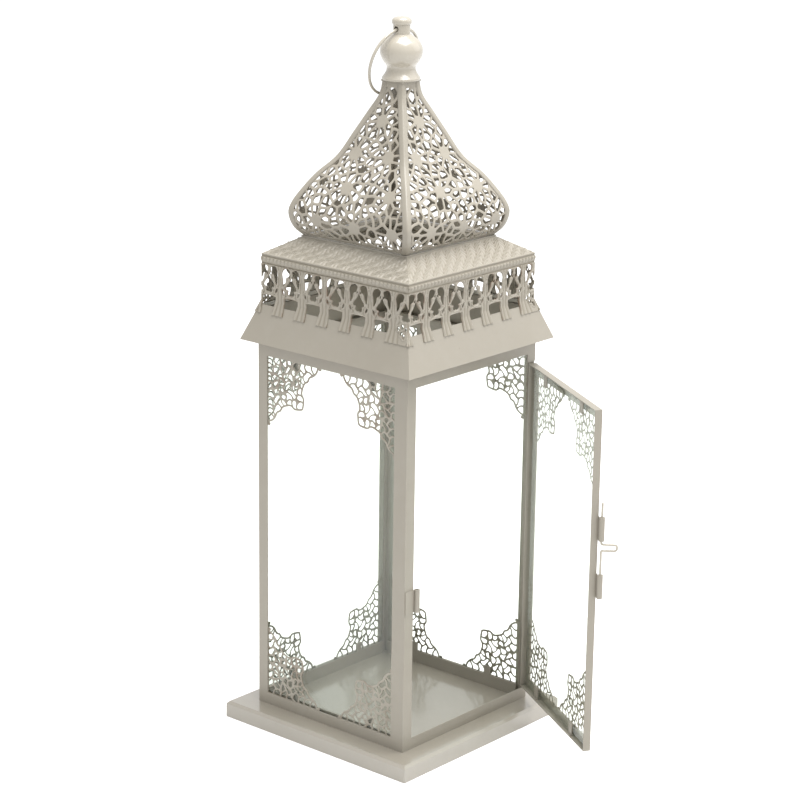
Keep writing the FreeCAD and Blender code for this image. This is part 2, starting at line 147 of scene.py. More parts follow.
# ---------------------------------------------------------------- meshes
def make_object(name, points, triangles, marks=None, sharp=38):
    """Mesh object; marks has the wear and the depth of carving at each point."""
    mesh = bpy.data.meshes.new(name)
    mesh.from_pydata((points * MM).tolist(), [], triangles.tolist())
    mesh.polygons.foreach_set("use_smooth", np.ones(len(mesh.polygons), bool))
    mesh.set_sharp_from_angle(angle=math.radians(sharp))
    if marks is not None:
        for column, label in enumerate(("worn", "hollow")):
            attribute = mesh.attributes.new(label, "FLOAT", "POINT")
            attribute.data.foreach_set("value", marks[:, column].astype(np.float32))
    made = bpy.data.objects.new(name, mesh)
    bpy.context.scene.collection.objects.link(made)
    return made


def cut_sheet(u_range, v_range, step, metal, place, relief, thickness, flip=False):
    """Sheet metal with piercings. metal(u, v) is the distance to the nearest edge, negative in a hole,
    and place(u, v, height) puts points in space."""
    us = np.linspace(*u_range, int(round((u_range[1] - u_range[0]) / step)) + 1)
    vs = np.linspace(*v_range, int(round((v_range[1] - v_range[0]) / step)) + 1)
    u, v = (axis.ravel() for axis in np.meshgrid(us, vs))
    d = metal(u, v)
    least = 0.08 * step
    d = np.where(np.abs(d) < least, np.where(d < 0, -least, least), d)
    grid = np.arange(len(u)).reshape(len(vs), len(us))
    low_left, low_right = grid[:-1, :-1].ravel(), grid[:-1, 1:].ravel()
    high_left, high_right = grid[1:, :-1].ravel(), grid[1:, 1:].ravel()
    triangles = np.concatenate([np.stack([low_left, low_right, high_right], 1),
                                np.stack([low_left, high_right, high_left], 1)])
    inside = d[triangles] > 0
    count = inside.sum(1)

    def with_first(rows, first):
        return np.take_along_axis(rows, (first[:, None] + np.arange(3)) % 3, 1)

    one = with_first(triangles[count == 1], inside[count == 1].argmax(1))
    two = with_first(triangles[count == 2], inside[count == 2].argmin(1))
    pairs = np.concatenate([one[:, [0, 1]], one[:, [0, 2]], two[:, [0, 1]], two[:, [0, 2]]])
    total = len(u)
    keys, back = np.unique(pairs.min(1) * total + pairs.max(1), return_inverse=True)
    low, high = keys // total, keys % total
    share = d[low] / (d[low] - d[high])
    u = np.concatenate([u, u[low] + (u[high] - u[low]) * share])
    v = np.concatenate([v, v[low] + (v[high] - v[low]) * share])
    d = np.concatenate([d, np.zeros(len(keys))])
    a, b, c, e = np.split(total + back.ravel(), np.cumsum([len(one), len(one), len(two)]))
    faces = np.concatenate([triangles[count == 3], np.stack([one[:, 0], a, b], 1),
                            np.stack([c, two[:, 1], two[:, 2]], 1), np.stack([c, two[:, 2], e], 1)])
    used, faces = np.unique(faces, return_inverse=True)
    faces = faces.reshape(-1, 3)
    u, v, d = u[used], v[used], d[used]
    if flip:
        faces = faces[:, ::-1]
    edges = np.concatenate([faces[:, [0, 1]], faces[:, [1, 2]], faces[:, [2, 0]]])
    m = len(u)
    rim = edges[~np.isin(edges[:, 0] * m + edges[:, 1], edges[:, 1] * m + edges[:, 0])]
    walls = np.concatenate([np.stack([rim[:, 0], rim[:, 0] + m, rim[:, 1] + m], 1),
                            np.stack([rim[:, 0], rim[:, 1] + m, rim[:, 1]], 1)])
    height = relief(u, v, d)
    rounded = 0.22 * (1 - np.clip(d / 0.9, 0, 1)) ** 2
    points = np.concatenate([place(u, v, height - rounded), place(u, v, height - thickness)])
    # worn grows near a hole's edge; hollow is the depth below the face, which the paint turns into painted shade
    marks = np.stack([np.clip(1 - d / 1.3, 0, 1), np.clip(-height / 0.5, 0, 1)], 1)
    return points, np.concatenate([faces, faces[:, ::-1] + m, walls]), np.concatenate([marks, marks])


def joined(parts):
    """One set of points, triangles and marks from several."""
    shift, points, triangles, marks = 0, [], [], []
    for p, t, w in parts:
        points.append(p)
        triangles.append(t + shift)
        marks.append(w)
        shift += len(p)
    return np.concatenate(points), np.concatenate(triangles), np.concatenate(marks)


def turned(points, quarter):
    c, s = round(math.cos(quarter * math.pi / 2)), round(math.sin(quarter * math.pi / 2))
    x, y, z = points.T
    return np.stack([x * c - y * s, x * s + y * c, z], 1)


def door_open(points):
    """Points of a door piece, drawn closed, at the displayed opening."""
    c, s = math.cos(DOOR_ANGLE), math.sin(DOOR_ANGLE)
    x, y, z = (points - HINGE).T
    return np.stack([x * c - y * s, x * s + y * c, z], 1) + HINGE


class Profile:
    """Side outline of (half width, height) points, followed by arc length."""

    def __init__(self, line):
        line = np.array(line, float)
        runs = np.hypot(*np.diff(line, axis=0).T)
        self.s = np.concatenate([[0], np.cumsum(runs)])
        self.line = line
        way = np.diff(line, axis=0) / runs[:, None]
        side = np.stack([way[:, 1], -way[:, 0]], 1)
        both = np.concatenate([side[:1], side[:-1] + side[1:], side[-1:]])
        self.side = both / np.hypot(*both.T)[:, None]

    def at(self, s, height):
        k, z = (np.interp(s, self.s, self.line[:, i]) for i in (0, 1))
        nk, nz = (np.interp(s, self.s, self.side[:, i]) for i in (0, 1))
        return k + nk * height, z + nz * height


def wire(route, radius, sides=16, closed=False):
    """Round wire along points."""
    p = np.array(route, float)
    n = len(p)
    if closed:
        way = np.roll(p, -1, 0) - np.roll(p, 1, 0)
    else:
        way = np.gradient(p, axis=0)
    way /= np.linalg.norm(way, axis=1)[:, None]
    side = np.cross(way[0], [0.31, 0.52, 0.79])
    rows = []
    angles = np.arange(sides) * 2 * math.pi / sides
    for i in range(n):
        side = side - way[i] * (side @ way[i])
        side /= np.linalg.norm(side)
        other = np.cross(way[i], side)
        rows.append(p[i] + radius * (np.cos(angles)[:, None] * side + np.sin(angles)[:, None] * other))
    points = np.concatenate(rows)
    triangles = []
    for i in range(n if closed else n - 1):
        j = (i + 1) % n
        for a in range(sides):
            b = (a + 1) % sides
            triangles += [(i * sides + a, i * sides + b, j * sides + b),
                          (i * sides + a, j * sides + b, j * sides + a)]
    if not closed:
        for row, order in ((0, -1), (n - 1, 1)):
            middle = len(points)
            points = np.concatenate([points, p[row:row + 1]])
            for a in range(sides):
                edge = (row * sides + a, row * sides + (a + 1) % sides)[::order]
                triangles.append((middle, *edge))
    return points, np.array(triangles)


def rounded_route(points, radii, steps=7):
    """Route with its corners rounded."""
    p = [np.array(q, float) for q in points]
    made = [p[0]]
    for before, corner, after, radius in zip(p, p[1:], p[2:], radii):
        start = corner + (before - corner) / np.linalg.norm(before - corner) * radius
        end = corner + (after - corner) / np.linalg.norm(after - corner) * radius
        for t in np.linspace(0, 1, steps):
            made.append(start * (1 - t) ** 2 + corner * 2 * t * (1 - t) + end * t ** 2)
    return made + [p[-1]]


# ---------------------------------------------------------------- materials
def new_material(name):
    material = bpy.data.materials.new(name)
    material.use_nodes = True
    tree = material.node_tree
    return material, tree, tree.nodes["Principled BSDF"]


def noise(tree, scale, detail, roughness=0.55, stretch=None):
    """Noise in the object's own space, from 0 to 1."""
    where = tree.nodes.new("ShaderNodeTexCoord")
    source = where.outputs["Object"]
    if stretch:
        mapping = tree.nodes.new("ShaderNodeMapping")
        mapping.inputs["Scale"].default_value = stretch
        tree.links.new(source, mapping.inputs["Vector"])
        source = mapping.outputs["Vector"]
    made = tree.nodes.new("ShaderNodeTexNoise")
    made.inputs["Scale"].default_value = scale
    made.inputs["Detail"].default_value = detail
    made.inputs["Roughness"].default_value = roughness
    tree.links.new(source, made.inputs["Vector"])
    return made.outputs["Fac"]


def ramp(tree, source, low, high, end_low=0.0, end_high=1.0):
    made = tree.nodes.new("ShaderNodeMapRange")
    for socket, value in (("From Min", low), ("From Max", high), ("To Min", end_low), ("To Max", end_high)):
        made.inputs[socket].default_value = value
    tree.links.new(source, made.inputs["Value"])
    return made.outputs["Result"]


def blend(tree, factor, a, b):
    """Colour from a to b; a is a colour or a socket."""
    made = tree.nodes.new("ShaderNodeMix")
    made.data_type = "RGBA"
    tree.links.new(factor, made.inputs[0])
    for socket, value in ((made.inputs[6], a), (made.inputs[7], b)):
        if isinstance(value, tuple):
            socket.default_value = (*value, 1)
        else:
            tree.links.new(value, socket)
    return made.outputs[2]


def bumps(tree, shader, layers):
    """Bump from (height socket, strength, distance in metres) layers."""
    normal = None
    for height, strength, distance in layers:
        made = tree.nodes.new("ShaderNodeBump")
        made.inputs["Strength"].default_value = strength
        made.inputs["Distance"].default_value = distance
        tree.links.new(height, made.inputs["Height"])
        if normal:
            tree.links.new(normal, made.inputs["Normal"])
        normal = made.outputs["Normal"]
    tree.links.new(normal, shader.inputs["Normal"])


CREAM = (0.280, 0.256, 0.212)
CREAM_DEEP = (0.266, 0.242, 0.198)
CREAM_PALE = (0.292, 0.269, 0.225)
BROWN = (0.120, 0.072, 0.040)
# dark olive for painted shade inside the roof and in the carved hollows, with dust and patina
DUST_AND_SHADE = (0.150, 0.128, 0.090)


def marked(tree, label):
    attribute = tree.nodes.new("ShaderNodeAttribute")
    attribute.attribute_name = label
    return attribute


def inside_roof(tree):
    """1 on the faces above the cabin that look to the axis, else 0: the mask of painted shade inside the roof,
    with the dust and smoke that settle there.
    """
    where = tree.nodes.new("ShaderNodeNewGeometry")
    level = tree.nodes.new("ShaderNodeVectorMath")
    level.operation = "MULTIPLY"
    level.inputs[1].default_value = (1, 1, 0)
    tree.links.new(where.outputs["Position"], level.inputs[0])
    outward = tree.nodes.new("ShaderNodeVectorMath")
    outward.operation = "DOT_PRODUCT"
    tree.links.new(level.outputs["Vector"], outward.inputs[0])
    tree.links.new(where.outputs["True Normal"], outward.inputs[1])
    height = tree.nodes.new("ShaderNodeSeparateXYZ")
    tree.links.new(where.outputs["Position"], height.inputs["Vector"])
    product = tree.nodes.new("ShaderNodeMath")
    product.operation = "MULTIPLY"
    tree.links.new(ramp(tree, outward.outputs["Value"], -0.008, -0.003, 1, 0), product.inputs[0])
    tree.links.new(ramp(tree, height.outputs["Z"], 0.300, 0.304), product.inputs[1])
    return product.outputs["Value"]


def paint(name, roughness, worn=0.0, tone=1.0, coat=0.0, uneven=1.0):
    """Semi-gloss paint on sheet metal, with painted shade and dust inside the roof, and wear along the piercings
    where worn is above 0;
    uneven scales its waves and the spread of its gloss. Higher tone values give lighter copies of the cream,
    painted light on the upper parts."""
    material, tree, shader = new_material(name)
    cream, deep, pale = (tuple(tone * c for c in colour) for colour in (CREAM, CREAM_DEEP, CREAM_PALE))
    colour = blend(tree, ramp(tree, noise(tree, 9, 5), 0.3, 0.75), cream, deep)
    colour = blend(tree, ramp(tree, noise(tree, 60, 6, 0.7), 0.45, 0.8, 0, 0.8), colour, pale)
    specks = ramp(tree, noise(tree, 260, 3, 0.6), 0.71, 0.77, 0, 0.35)
    colour = blend(tree, specks, colour, BROWN)
    # painted shade: the faces inside the roof are pulled towards the dark dust colour, with some real dust
    roof_dust_and_shade = ramp(tree, inside_roof(tree), 0, 1, 0, 0.55)
    colour = blend(tree, roof_dust_and_shade, colour, DUST_AND_SHADE)
    shader.inputs["Coat Weight"].default_value = coat
    shader.inputs["Coat Roughness"].default_value = 0.12
    shader.inputs["Coat IOR"].default_value = 1.6
    if worn:
        # painted shade with patina: the carved hollows are darkened towards the dust colour
        carved = marked(tree, "hollow").outputs["Fac"]
        colour = blend(tree, ramp(tree, carved, 0.05, 1, 0, 0.7), colour, DUST_AND_SHADE)
        attribute = marked(tree, "worn")
        patches = ramp(tree, noise(tree, 75, 5, 0.65), 0.44, 0.66)
        product = tree.nodes.new("ShaderNodeMath")
        product.operation = "MULTIPLY"
        tree.links.new(attribute.outputs["Fac"], product.inputs[0])
        tree.links.new(patches, product.inputs[1])
        colour = blend(tree, ramp(tree, product.outputs["Value"], 0.1, 1.0, 0, worn), colour, BROWN)
    tree.links.new(colour, shader.inputs["Base Color"])
    tree.links.new(ramp(tree, noise(tree, 30, 5), 0.3, 0.75, roughness - 0.07 * uneven,
                        roughness + 0.1 * uneven), shader.inputs["Roughness"])
    shader.inputs["Specular IOR Level"].default_value = 0.45
    bumps(tree, shader, [(noise(tree, 8, 1), 0.3 * uneven, 0.002), (noise(tree, 900, 3, 0.5), 0.10, 0.00008),
                         (noise(tree, 160, 4, 0.6, (1, 1, 0.25)), 0.12, 0.0001)])
    return material


def clear_glass():
    material, tree, shader = new_material("lantern_glass")
    streaks = ramp(tree, noise(tree, 14, 4, 0.5, (1, 1, 0.3)), 0.4, 0.7)
    clear = tree.nodes.new("ShaderNodeBsdfTransparent")
    tree.links.new(blend(tree, streaks, (0.960, 0.974, 0.957), (0.942, 0.960, 0.938)), clear.inputs["Color"])
    tree.links.new(blend(tree, streaks, (0.90, 0.91, 0.90), (0.84, 0.86, 0.84)), shader.inputs["Base Color"])
    tree.links.new(ramp(tree, noise(tree, 25, 4), 0.45, 0.8, 0.02, 0.06), shader.inputs["Roughness"])
    shader.inputs["Metallic"].default_value = 1.0
    slant = tree.nodes.new("ShaderNodeLayerWeight")
    slant.inputs["Blend"].default_value = 0.5
    steep = tree.nodes.new("ShaderNodeMath")
    steep.operation = "POWER"
    steep.inputs[1].default_value = 5
    tree.links.new(slant.outputs["Facing"], steep.inputs[0])
    mix = tree.nodes.new("ShaderNodeMixShader")
    tree.links.new(ramp(tree, steep.outputs["Value"], 0, 1, 0.03, 0.85), mix.inputs[0])
    tree.links.new(clear.outputs["BSDF"], mix.inputs[1])
    tree.links.new(shader.outputs["BSDF"], mix.inputs[2])
    tree.links.new(mix.outputs["Shader"], tree.nodes["Material Output"].inputs["Surface"])
    return material


def bright_steel():
    material, tree, shader = new_material("pin_steel")
    scratches = ramp(tree, noise(tree, 300, 4), 0.4, 0.7)
    tree.links.new(blend(tree, scratches, (0.46, 0.45, 0.43), (0.30, 0.27, 0.24)),
                   shader.inputs["Base Color"])
    shader.inputs["Metallic"].default_value = 1.0
    tree.links.new(ramp(tree, noise(tree, 500, 3), 0.3, 0.7, 0.28, 0.5), shader.inputs["Roughness"])
    bumps(tree, shader, [(noise(tree, 1200, 2, 0.5, (1, 1, 0.05)), 0.15, 0.00004)])
    return material


# lighter tone values make lit copies of the one cream paint: lace 0.97, dome 1.0, and finial, ring and bolt 1.22
# against 0.91 on the body, painted light from above
body_paint = paint("paint_body", 0.38, tone=0.91, uneven=0.6)
gloss_paint = paint("paint_base", 0.30, tone=0.92, coat=1.0, uneven=0.15)
lace_paint = paint("paint_lace", 0.42, worn=0.8, tone=0.97)
dome_paint = paint("paint_dome", 0.40, worn=0.22, tone=1.0)
knob_paint = paint("paint_knob", 0.30, tone=1.22, coat=0.5, uneven=0.4)
glass_material = clear_glass()
steel_material = bright_steel()

for name, node in frame["nodes"].items():
    if name.endswith("_glass"):
        material = glass_material
    elif name == "hinge_pins":
        material = steel_material
    elif name == "base_tray":
        material = gloss_paint
    else:
        material = body_paint
    node.data.materials.clear()
    node.data.materials.append(material)


def fit_out(piece, body, node, material):
    """Lets a new piece ride on its body in place of a CAD node."""
    piece.data.materials.append(material)
    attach(piece, body)
    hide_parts(node)


# ---------------------------------------------------------------- filigree brackets
bracket_edge = [(52, 0), (50.3, 4.4), (47, 7.8), (43.2, 9.8), (41.2, 13.2), (38, 15.3), (36, 19.6),
                (35.3, 23.5), (37.2, 27), (37, 31.4), (36.2, 35.0)]
# Middles of the openings between the strands. Each has its mirror image across the diagonal.
bracket_cells = [
    (30.6, 28.3), (28.8, 20.6), (28.7, 14.6), (31.4, 9.6), (42.8, 3.2), (39.0, 8.4), (35.4, 3.8), (29.8, 4.0),
    (25.6, 8.2), (23.6, 2.6), (20.6, 7.0), (17.4, 2.8), (14.8, 7.4), (19.2, 13.2), (35.4, 13.8), (11.2, 3.0),
    (48.0, 2.6), (24.2, 13.6), (34.0, 22.6), (33.4, 17.6)]
bracket_middles = [(25.0, 25.0), (34.2, 34.2), (18.9, 18.9), (13.0, 13.0), (8.2, 8.2), (3.4, 3.4)]
bracket_seeds = np.array(
    [(a, b, 0.9 * i, 1.22) for i, (a, b) in enumerate(bracket_cells)]
    + [(b, a, math.pi / 2 - 0.9 * i, 1.22) for i, (a, b) in enumerate(bracket_cells)]
    + [(a, b, math.pi / 4, 1.15) for a, b in bracket_middles])
STRAND = 0.70                   # half width of a strand between two openings
BRACKET_RIM = 1.5
BRACKET_STEP = 0.56             # spacing of the points across the sheet
BRACKET_SHEET = 0.5
bracket_outline = smooth_line(bracket_edge + [(b, a) for a, b in bracket_edge[::-1]], 5)
bracket_outline = np.concatenate([bracket_outline, [(-3, 52), (-3, -3), (52, -3)]])
BRACKET_SPAN = 54.4


def bracket_metal(a, b):
    metal = inside_distance(bracket_outline, a, b)
    metal = np.maximum(metal, 1.5 - np.hypot(a - 53.0, b - 0.8))
    metal = np.maximum(metal, 1.5 - np.hypot(a - 0.8, b - 53.0))
    bent_a, bent_b = a + 1.3 * np.sin(0.6 * b + 0.4), b + 1.3 * np.sin(0.6 * a + 0.4)
    depth = cell_depth(bent_a, bent_b, bracket_seeds, 2.2)[1]
    hole = np.minimum(depth - STRAND, metal - BRACKET_RIM)
    hole = np.minimum(hole, np.minimum(a, b) - 0.3)
    return np.minimum(metal, -hole)


def bracket_relief(a, b, d):
    """Slight waves of the thin sheet."""
    return 0.05 * np.sin(a * 0.9) * np.sin(b * 0.8)


def filigree(window):
    """Four brackets behind a window (x0, x1, z0, z1)."""
    x0, x1, z0, z1 = window
    made = []
    for x, z, along, up in ((x0, z0, 1, 1), (x1, z0, -1, 1), (x1, z1, -1, -1), (x0, z1, 1, -1)):
        def place(a, b, height, x=x, z=z, along=along, up=up):
            return np.stack([x + a * along, FRONT - height + 0.03, z + b * up], 1)
        made.append(cut_sheet((-3, BRACKET_SPAN), (-3, BRACKET_SPAN), BRACKET_STEP, bracket_metal, place,
                              bracket_relief, BRACKET_SHEET, flip=along * up < 0))
    return joined(made)


DOOR_WINDOW = (-51.5, 64.7, 32.2, 279)
side_windows = {"left": ((-65.25, 62.25, 22, 294.5), -1), "right": ((-65.25, 65.25, 22, 294.5), 1),
                "back": ((-65.25, 65.25, 22, 294.5), 2)}
for side, (window, quarter) in side_windows.items():
    points, triangles, marks = filigree(window)
    piece = make_object("filigree_" + side, turned(points, quarter), triangles, marks)
    fit_out(piece, "housing", side + "_brackets", lace_paint)
points, triangles, marks = filigree(DOOR_WINDOW)
piece = make_object("filigree_door", door_open(points), triangles, marks)
fit_out(piece, "door", "door_brackets", lace_paint)

# ---------------------------------------------------------------- eaves skirt
EAVE_Z = 306.0                  # lower edge of the skirt
EAVE_HALF = 84.1                # half width at that edge
SKIRT_SLOPE = 0.3855            # inward run for each unit of height
SKIRT_TOP = 333.4
SKIRT_WALL = 0.86               # the sheet, measured level


def square_ring(loop):
    """Four-sided ring from a closed loop of (half width, height)."""
    corners = ((1, -1), (1, 1), (-1, 1), (-1, -1))
    points = [(k * x, k * y, z) for k, z in loop for x, y in corners]
    triangles = []
    for i in range(len(loop)):
        j = (i + 1) % len(loop)
        for a in range(4):
            b = (a + 1) % 4
            triangles += [(4 * i + a, 4 * i + b, 4 * j + b), (4 * i + a, 4 * j + b, 4 * j + a)]
    return np.array(points, float), np.array(triangles)


skirt_outer = [(EAVE_HALF - SKIRT_SLOPE * (z - EAVE_Z), z) for z in (EAVE_Z, 312, 318, 325, SKIRT_TOP)]
points, triangles = square_ring(skirt_outer + [(k - SKIRT_WALL, z) for k, z in skirt_outer[::-1]])
piece = make_object("folded_skirt", points, triangles, sharp=30)
fit_out(piece, "housing", "eaves_skirt", body_paint)

# ---------------------------------------------------------------- cornice
cornice_line = [(76.55, 327.8), (72.9, 337.3), (72.9, 372.0), (51.34, 385.0)]
cornice_profile = Profile(cornice_line)
cornice_profile.s = cornice_profile.s - cornice_profile.s[2]
LACE_END = 72.9
FIRST_SHEAF = 19.6
PITCH = 22.4
BEAD_PITCH = 3.75
LEAF_PITCH = 11.2
LACE_STEP = 0.62
pear = smooth_line(
    [(0, -14.2), (2.2, -17.8), (5.2, -21.4), (4.9, -23.6), (2.9, -23.9), (3.4, -26.6), (1.4, -28.0),
     (0, -27.4), (-1.4, -28.0), (-3.4, -26.6), (-2.9, -23.9), (-4.9, -23.6), (-5.2, -21.4), (-2.2, -17.8)],
    4, True)
drop = smooth_line(
    [(1.2, -9.4), (4.2, -7.7), (7.4, -8.6), (8.9, -12.4), (8.4, -16.5), (7.9, -21.4), (5.6, -18.0),
     (4.9, -14.6), (2.6, -13.4)], 5, True)
feet_gap = np.array([
    (-6.7, -31.4), (-6.1, -30.9), (0, -30.5), (6.1, -30.9), (6.7, -31.4), (6.3, -38), (5.4, -48),
    (-5.4, -48), (-6.3, -38)])
corner_dots = [(63.6, -33.6, 4.0, 2.0, 75), (67.2, -31.8, 4.4, 2.4, 90), (70.6, -33.4, 3.0, 1.9, 100),
               (66.8, -36.9, 3.0, 2.2, 60), (69.6, -38.8, 4.2, 2.2, 120)]


def in_cell(u):
    """Distance to the middle of the nearest gap between two sheaves."""
    first_gap = -LACE_END + FIRST_SHEAF - PITCH / 2
    return (u - first_gap + PITCH / 2) % PITCH - PITCH / 2


def lace_metal(u, v):
    metal = cornice_profile.at(v, 0)[0] - 0.35 - np.abs(u)
    x = in_cell(u)
    last = u > LACE_END - 12
    right = np.where(last & (x > 0), -9.0, inside_distance(drop, np.abs(x), v))
    metal = np.minimum(metal, -right)
    metal = np.minimum(metal, -inside_distance(pear, x, v))
    metal = np.minimum(metal, -np.where(last, -9.0, inside_distance(feet_gap, x, v)))
    slit = leaf_depth(np.abs(x), v, (7.6, -26.0, 4.6, 1.7, 65))
    slit = np.maximum(slit, leaf_depth(np.abs(x), v, (1.5, -13.6, 2.6, 1.4, 110)))
    metal = np.minimum(metal, -np.where(last, -9.0, slit))
    for hole in corner_dots:
        metal = np.minimum(metal, -leaf_depth(u, v, hole))
    return metal


def lace_relief(u, v, d):
    """Bead band, ribbed sheaves, scroll rims and the veined leaves of the sloping band."""
    x = in_cell(u)
    sheaf = np.sign(x) * (np.abs(x) - PITCH / 2)
    half = np.interp(v, [-45, -38, -31, -27, -20, -14, -8], [8.0, 6.2, 5.0, 7.6, 4.2, 3.4, 5.0])
    share = sheaf / half
    ribs = 0.34 * np.cos(share * math.pi * 3.4) - 0.06
    rims = 0.5 * np.exp(-((d - 0.85) / 0.5) ** 2)
    lace = (v < -7.2) * np.where(rims > 0.14, rims, np.where(np.abs(share) < 1.1, ribs, -0.12))
    across = (u + LACE_END + BEAD_PITCH / 2) % BEAD_PITCH - BEAD_PITCH / 2
    beads = 1.15 * np.sqrt(np.clip(1 - (np.hypot(across, v + 3.6) / 1.5) ** 2, 0, 1)) - 0.22
    grooves = -0.62 * (np.exp(-((v + 1.0) / 0.5) ** 2) + np.exp(-((v + 6.5) / 0.5) ** 2))
    band = (v < -0.2) * (v > -7.4) * (beads + grooves)
    leaf = (u + 9 - (v - 12) * 1.1 + 1.4 * np.sin(v / 2.6)) % LEAF_PITCH - LEAF_PITCH / 2
    veins = 0.26 * np.cos((np.abs(leaf) * 1.1 + v) * 2 * math.pi / 3.3) - 0.10
    midribs = 0.40 * np.exp(-(leaf / 0.7) ** 2) - 0.34 * np.exp(-((np.abs(leaf) - LEAF_PITCH / 2) / 0.7) ** 2)
    slope = (v > 0.8) * (veins + midribs) * np.clip((25 - v) / 3, 0, 1)
    return lace + band + slope


for quarter, side in enumerate(("front", "right", "back", "left")):
    def on_cornice(u, v, height):
        k, z = cornice_profile.at(v, height)
        return np.stack([u, -k, z], 1)
    points, triangles, marks = cut_sheet((-76.8, 76.8), (cornice_profile.s[0], cornice_profile.s[-1]), LACE_STEP,
                                         lace_metal, on_cornice, lace_relief, SHEET)
    marks[:, 0] *= points[:, 2] < 366
    # less painted shade in the hollows of the sloping band
    marks[:, 1] *= np.where(points[:, 2] > 371.4, 0.8, 1.0)
    piece = make_object("pierced_cornice_" + side, turned(points, quarter), triangles, marks)
    fit_out(piece, "housing", "cornice_" + side, lace_paint)

# ---------------------------------------------------------------- dome
dome_line = [
    (50.7, 385.8), (56.2, 392.4), (58.9, 402.5), (57.2, 411.0), (51.9, 421.3), (44.2, 433.2), (33.5, 446.2),
    (24.8, 464.0), (17.6, 479.0), (11.9, 491.2), (10.2, 501.2)]
dome_profile = Profile(smooth_line(dome_line, 6))
RIDGE_WIDTH = 4.6
SOLID = 99.0                    # a cell with no opening
DOME_STEP = 0.8
dome_hearts = [(-31, 17), (6, 16), (43, 17), (-50, 45), (-10, 46), (32, 45), (-17, 74), (15, 75), (-1, 101)]


def dome_cells(seed):
    """Net of openings in rings round the solid hearts: the seeds and each cell's half width of metal."""
    rng = np.random.default_rng(seed)
    seeds, webs = [], []

    def offer(a, b, web, apart, angle=0.0, stretch=1.0):
        if all(math.hypot(a - seed[0], b - seed[1]) > apart for seed in seeds):
            seeds.append((a, b, angle, stretch))
            webs.append(web)

    for a, b in dome_hearts:
        offer(a, b, SOLID, 0)
    for count, ring, apart in ((9, 9.3, 4.4), (12, 17.0, 5.6)):
        for a, b in dome_hearts:
            first = rng.uniform(0, 360)
            for i in range(count):
                angle = math.radians(first + 360 / count * i + rng.uniform(-7, 7))
                out = ring + rng.uniform(-0.9, 0.9)
                offer(a + out * math.cos(angle), b + out * math.sin(angle), rng.uniform(0.7, 1.25), apart,
                      angle + rng.uniform(-0.5, 0.5), rng.uniform(1.15, 1.5))
    for _ in range(2500):
        web = SOLID if rng.uniform() < 0.11 else rng.uniform(0.75, 1.4)
        offer(rng.uniform(-58, 58), rng.uniform(0, dome_profile.s[-1]), web, 6.5,
              rng.uniform(0, math.pi), rng.uniform(1.1, 1.55))
    return np.array(seeds), np.array(webs)


def on_dome(u, v, height):
    k, z = dome_profile.at(v, height - SHEET)
    return np.stack([u, -k, z], 1)


for quarter, side in enumerate(("front", "right", "back", "left")):
    seeds, webs = dome_cells(11 + quarter)

    def dome_metal(u, v):
        half = np.interp(v, dome_profile.s, dome_profile.line[:, 0])
        nearest, depth = cell_depth(u, v, seeds, 7.0)
        hole = np.minimum(depth - webs[nearest], half - RIDGE_WIDTH - 0.4 - np.abs(u))
        hole = np.minimum(hole, np.minimum(v - 2.2, dome_profile.s[-1] - 4 - v))
        return np.minimum(half - SHEET - 0.2 - np.abs(u), -hole)

    points, triangles, marks = cut_sheet(
        (-59.5, 59.5), (0, dome_profile.s[-1]), DOME_STEP, dome_metal, on_dome,
        lambda u, v, d: 0.12 * np.sin(u / 7.3 + quarter) * np.sin(v / 8.9), SHEET)
    # no painted shade in the dome's hollows
    marks[:, 1] = 0
    piece = make_object("pierced_dome_" + side, turned(points, quarter), triangles, marks)
    fit_out(piece, "housing", "dome_" + side, dome_paint)


def on_ridge(w, s, height):
    """Angle strip over a corner of the dome; w runs from the front panel round to the right one."""
    k, z = dome_profile.at(s, height)
    soft = 0.9
    front = (np.hypot(w, soft) - w) / 2
    right = (np.hypot(w, soft) + w) / 2
    return np.stack([k - front, right - k, z], 1)


for quarter, corner in enumerate(("front_right", "back_right", "back_left", "front_left")):
    points, triangles, marks = cut_sheet((-RIDGE_WIDTH, RIDGE_WIDTH), (0, dome_profile.s[-1]), DOME_STEP,
                                         lambda w, s: RIDGE_WIDTH - 0.05 - np.abs(w), on_ridge,
                                         lambda w, s, d: 0 * w, SHEET)
    piece = make_object("ridge_strip_" + corner, turned(points, quarter), triangles, marks)
    fit_out(piece, "housing", "dome_ridge_" + corner, body_paint)

# ---------------------------------------------------------------- finial and ring
SEAT = 502.2
PIVOT = 539.4
HOLE_RADIUS = 2.1
finial_sweep = smooth_line([
    (14.2, 1.6), (11.3, 6.0), (10.9, 9.8), (13.6, 13.8), (15.5, 18.2), (15.5, 23.4), (13.0, 28.4),
    (8.4, 32.2), (6.3, 33.4)], 6)
finial_line = np.concatenate([
    [(0, -2.6), (3.6, -2.6), (3.6, -1.0), (2.0, -1.0), (2.0, 0), (13.9, 0), (14.2, 0.3)], finial_sweep,
    [(6.3, 40.3), (6.9, 40.6), (7.2, 41.1), (7.2, 43.2), (6.7, 44.3), (5.4, 45.2), (3.8, 45.7), (2.0, 45.8),
     (0, 45.8)]])
ROUND = 96
angles = np.arange(ROUND) * 2 * math.pi / ROUND
points = [(0, 0, SEAT + finial_line[0][1])]
for r, h in finial_line[1:-1]:
    points += [(r * math.cos(a), r * math.sin(a), SEAT + h) for a in angles]
points.append((0, 0, SEAT + finial_line[-1][1]))
triangles = []
rows = len(finial_line) - 2
for a in range(ROUND):
    b = (a + 1) % ROUND
    triangles.append((0, 1 + b, 1 + a))
    for row in range(rows - 1):
        low, high = 1 + row * ROUND, 1 + (row + 1) * ROUND
        triangles += [(low + a, low + b, high + b), (low + a, high + b, high + a)]
    top = 1 + (rows - 1) * ROUND
    triangles.append((top + a, top + b, len(points) - 1))
knob = make_object("turned_finial", np.array(points), np.array(triangles), sharp=32)
